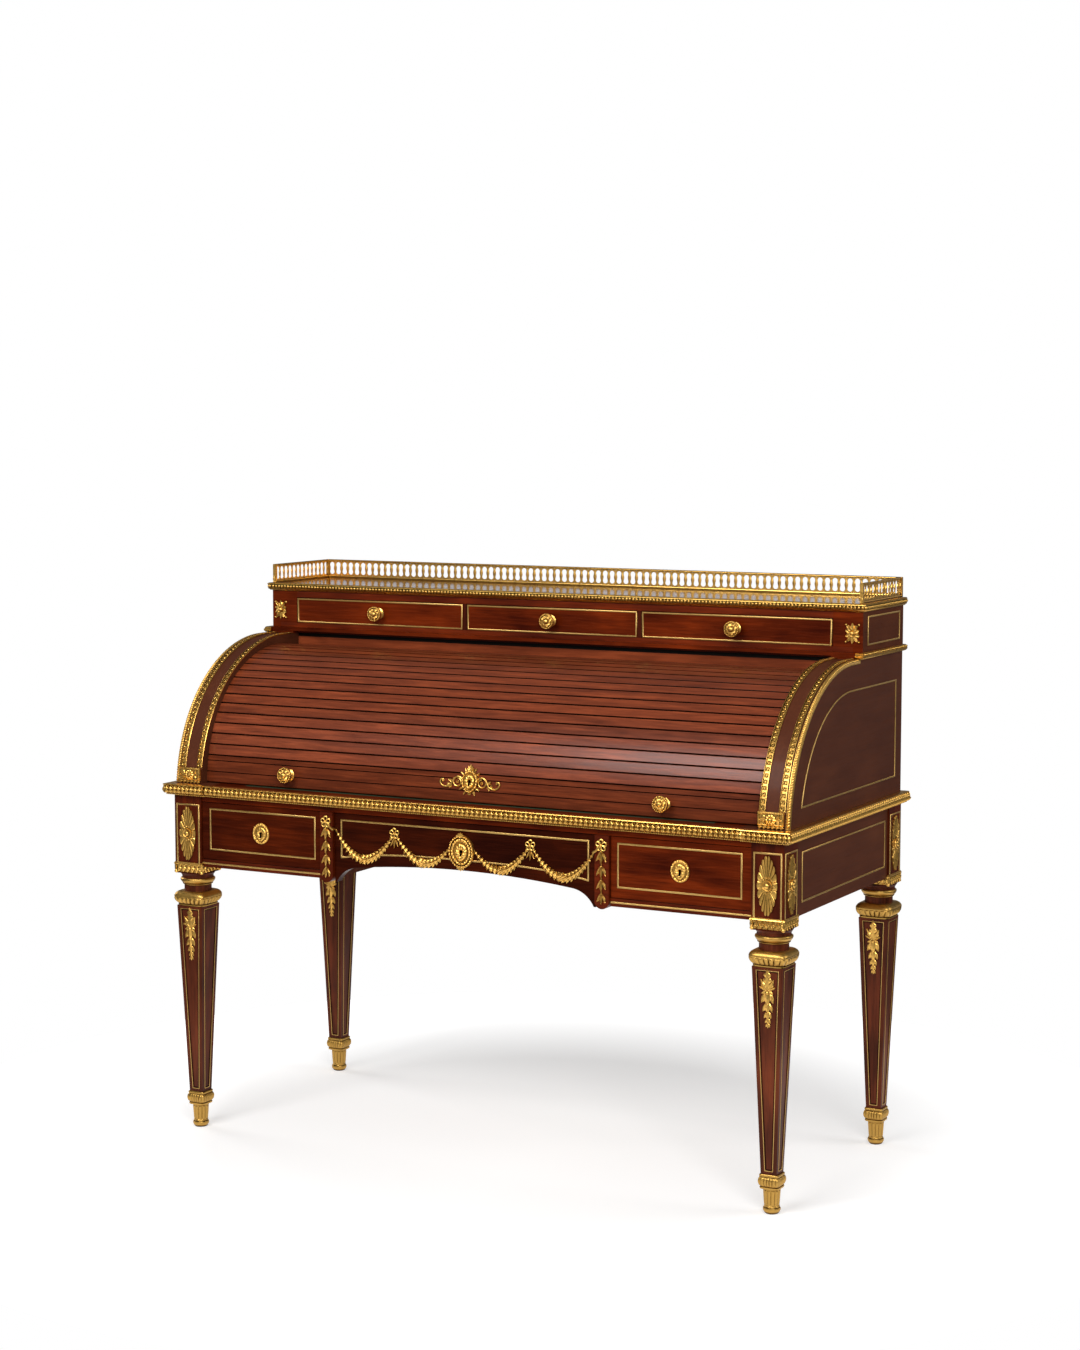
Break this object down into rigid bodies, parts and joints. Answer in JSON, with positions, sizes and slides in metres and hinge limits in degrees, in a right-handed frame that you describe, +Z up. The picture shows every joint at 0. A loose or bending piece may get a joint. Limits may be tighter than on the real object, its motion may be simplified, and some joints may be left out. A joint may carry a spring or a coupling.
{
  "type": "cylinder desk",
  "caption": "Writing desk whose slatted roll turns up over a pull-out writing slide and a nest of pigeonholes, with drawers above and below, on tapered legs with gilt mounts.",
  "frame": {"origin": "on the floor under the middle of the overall box", "axes": "+X to the sitter's right along the desk, -Y towards the sitter, +Z up"},
  "size_m": [1.504, 0.678, 1.24],
  "materials": {
    "mahogany": "polished mahogany",
    "drawer_oak": "waxed oak",
    "gilt_bronze": "gilt bronze",
    "leather": "tooled leather",
    "canvas": "linen canvas"
  },
  "bodies": {
    "case": {"back_panels": "mahogany", "back_rail": "mahogany", "bed_board": "drawer_oak", "cheeks": "mahogany", "corner_posts": "mahogany", "corner_rosettes": "gilt_bronze", "curve_strips": "gilt_bronze", "drawer_runners": "drawer_oak", "dust_board": "drawer_oak", "front_frame": "mahogany", "gallery_back": "gilt_bronze", "gallery_sides": "gilt_bronze", "leg_back_left": "mahogany", "leg_back_right": "mahogany", "leg_front_left": "mahogany", "leg_front_right": "mahogany", "leg_husks": "gilt_bronze", "leg_rings": "gilt_bronze", "nest_case": "drawer_oak", "partitions": "mahogany", "post_borders": "gilt_bronze", "post_pateras": "gilt_bronze", "roll_header": "mahogany", "sabots": "gilt_bronze", "side_panel_left": "mahogany", "side_panel_right": "mahogany", "side_rails": "mahogany", "stile_drops": "gilt_bronze", "table_frame": "mahogany", "table_moulding": "gilt_bronze", "top_board": "mahogany", "top_moulding": "gilt_bronze", "upper_base": "mahogany", "upper_dividers": "mahogany", "upper_ends": "mahogany", "upper_rails": "mahogany", "waist_mouldings": "gilt_bronze"},
    "roll": {"roll_slats": "mahogany", "roll_canvas": "canvas", "roll_rail": "mahogany", "roll_knobs": "gilt_bronze", "roll_lock": "gilt_bronze"},
    "slide": {"writing_slide": "mahogany", "slide_moulding": "gilt_bronze", "slide_leather": "leather"},
    "upper_left": {"upper_drawer_left": "mahogany", "upper_knob_left": "gilt_bronze"},
    "frieze_left": {"frieze_drawer_left": "mahogany", "frieze_lock_left": "gilt_bronze"},
    "nest_left": {"nest_drawer_left": "mahogany"},
    "upper_center": {"upper_drawer_center": "mahogany", "upper_knob_center": "gilt_bronze"},
    "frieze_center": {"frieze_drawer_center": "mahogany", "frieze_lock_center": "gilt_bronze"},
    "nest_center": {"nest_drawer_center": "mahogany"},
    "upper_right": {"upper_drawer_right": "mahogany", "upper_knob_right": "gilt_bronze"},
    "frieze_right": {"frieze_drawer_right": "mahogany", "frieze_lock_right": "gilt_bronze"},
    "nest_right": {"nest_drawer_right": "mahogany"}
  },
  "joints": [
    {"name": "roll_turn", "type": "hinge", "parent": "case", "child": "roll", "pos_m": [0, 0.0075, 0.777], "axis": [-1, 0, 0], "range_deg": [0, 78]},
    {"name": "slide_pull", "type": "slide", "parent": "case", "child": "slide", "axis": [0, -1, 0], "range_m": [0, 0.2]},
    {"name": "upper_left_pull", "type": "slide", "parent": "case", "child": "upper_left", "axis": [0, -1, 0], "range_m": [0, 0.15]},
    {"name": "upper_center_pull", "type": "slide", "parent": "case", "child": "upper_center", "axis": [0, -1, 0], "range_m": [0, 0.15]},
    {"name": "upper_right_pull", "type": "slide", "parent": "case", "child": "upper_right", "axis": [0, -1, 0], "range_m": [0, 0.15]},
    {"name": "frieze_left_pull", "type": "slide", "parent": "case", "child": "frieze_left", "axis": [0, -1, 0], "range_m": [0, 0.34]},
    {"name": "frieze_center_pull", "type": "slide", "parent": "case", "child": "frieze_center", "axis": [0, -1, 0], "range_m": [0, 0.34]},
    {"name": "frieze_right_pull", "type": "slide", "parent": "case", "child": "frieze_right", "axis": [0, -1, 0], "range_m": [0, 0.34]},
    {"name": "nest_left_pull", "type": "slide", "parent": "case", "child": "nest_left", "axis": [0, -1, 0], "range_m": [0, 0.12]},
    {"name": "nest_center_pull", "type": "slide", "parent": "case", "child": "nest_center", "axis": [0, -1, 0], "range_m": [0, 0.12]},
    {"name": "nest_right_pull", "type": "slide", "parent": "case", "child": "nest_right", "axis": [0, -1, 0], "range_m": [0, 0.12]}
  ]
}
